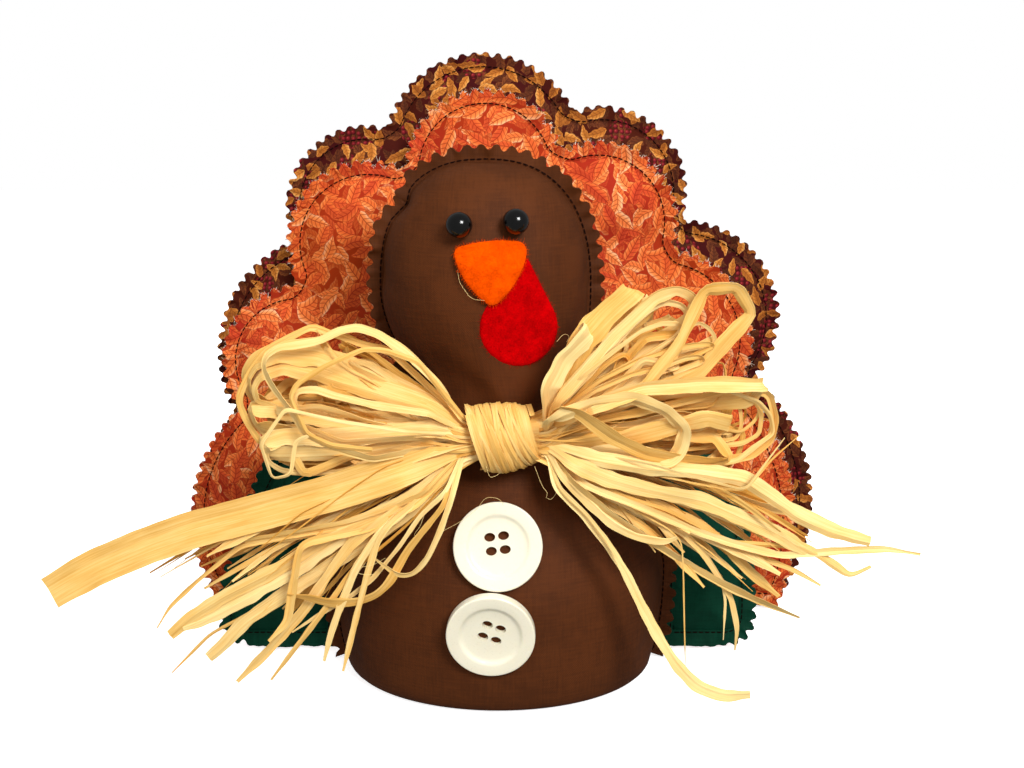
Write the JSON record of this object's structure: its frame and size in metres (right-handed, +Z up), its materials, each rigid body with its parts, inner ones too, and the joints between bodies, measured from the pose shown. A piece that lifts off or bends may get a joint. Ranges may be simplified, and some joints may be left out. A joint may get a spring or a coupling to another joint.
{
  "type": "thanksgiving turkey figure",
  "caption": "Stuffed fabric turkey that sits on a table, with scalloped tail pads, wings, felt beak and wattle, bead eyes, buttons and a raffia bow.",
  "frame": {"origin": "on the table under the middle of the body's side seams", "axes": "+Z up, the figure faces -Y, +X to the right as seen from the front"},
  "size_m": [0.3323, 0.1338, 0.2411],
  "materials": {
    "brown_cotton": "matt plain-weave cotton",
    "rust_leaf_print": "printed cotton",
    "dark_leaf_print": "printed cotton",
    "green_cotton": "plain-weave cotton",
    "fibre_filling": "polyester fibre",
    "pellet_pouch": "pellets in a cotton bag",
    "orange_felt": "craft felt",
    "red_felt": "craft felt",
    "black_bead": "polished",
    "cream_button": "satin moulded",
    "raffia": "dry natural strip"
  },
  "bodies": {
    "figure": {"body_front_panel": "brown_cotton", "body_back_panel": "brown_cotton", "base_panel": "brown_cotton", "front_tail_front_panel": "rust_leaf_print", "front_tail_back_panel": "rust_leaf_print", "back_tail_front_panel": "dark_leaf_print", "back_tail_back_panel": "dark_leaf_print", "left_wing_front_panel": "green_cotton", "left_wing_back_panel": "green_cotton", "right_wing_front_panel": "green_cotton", "right_wing_back_panel": "green_cotton", "belly_fill": "fibre_filling", "head_fill": "fibre_filling", "front_tail_fill": "fibre_filling", "back_tail_fill": "fibre_filling", "left_wing_fill": "fibre_filling", "right_wing_fill": "fibre_filling", "weight_pouch": "pellet_pouch", "beak": "orange_felt", "wattle_tab": "red_felt", "left_eye": "black_bead", "right_eye": "black_bead", "button_upper": "cream_button", "button_lower": "cream_button", "bow_binding": "raffia", "bow_loops_left": "raffia", "bow_loops_right": "raffia", "bow_tails_left": "raffia", "bow_tails_right": "raffia"},
    "wattle_flap": {"wattle": "red_felt"}
  },
  "joints": [
    {"name": "wattle_fold", "type": "hinge", "parent": "figure", "child": "wattle_flap", "pos_m": [0.0075, -0.03741, 0.1491], "axis": [-0.984, -0.1781, 0], "range_deg": [0, 60]}
  ]
}
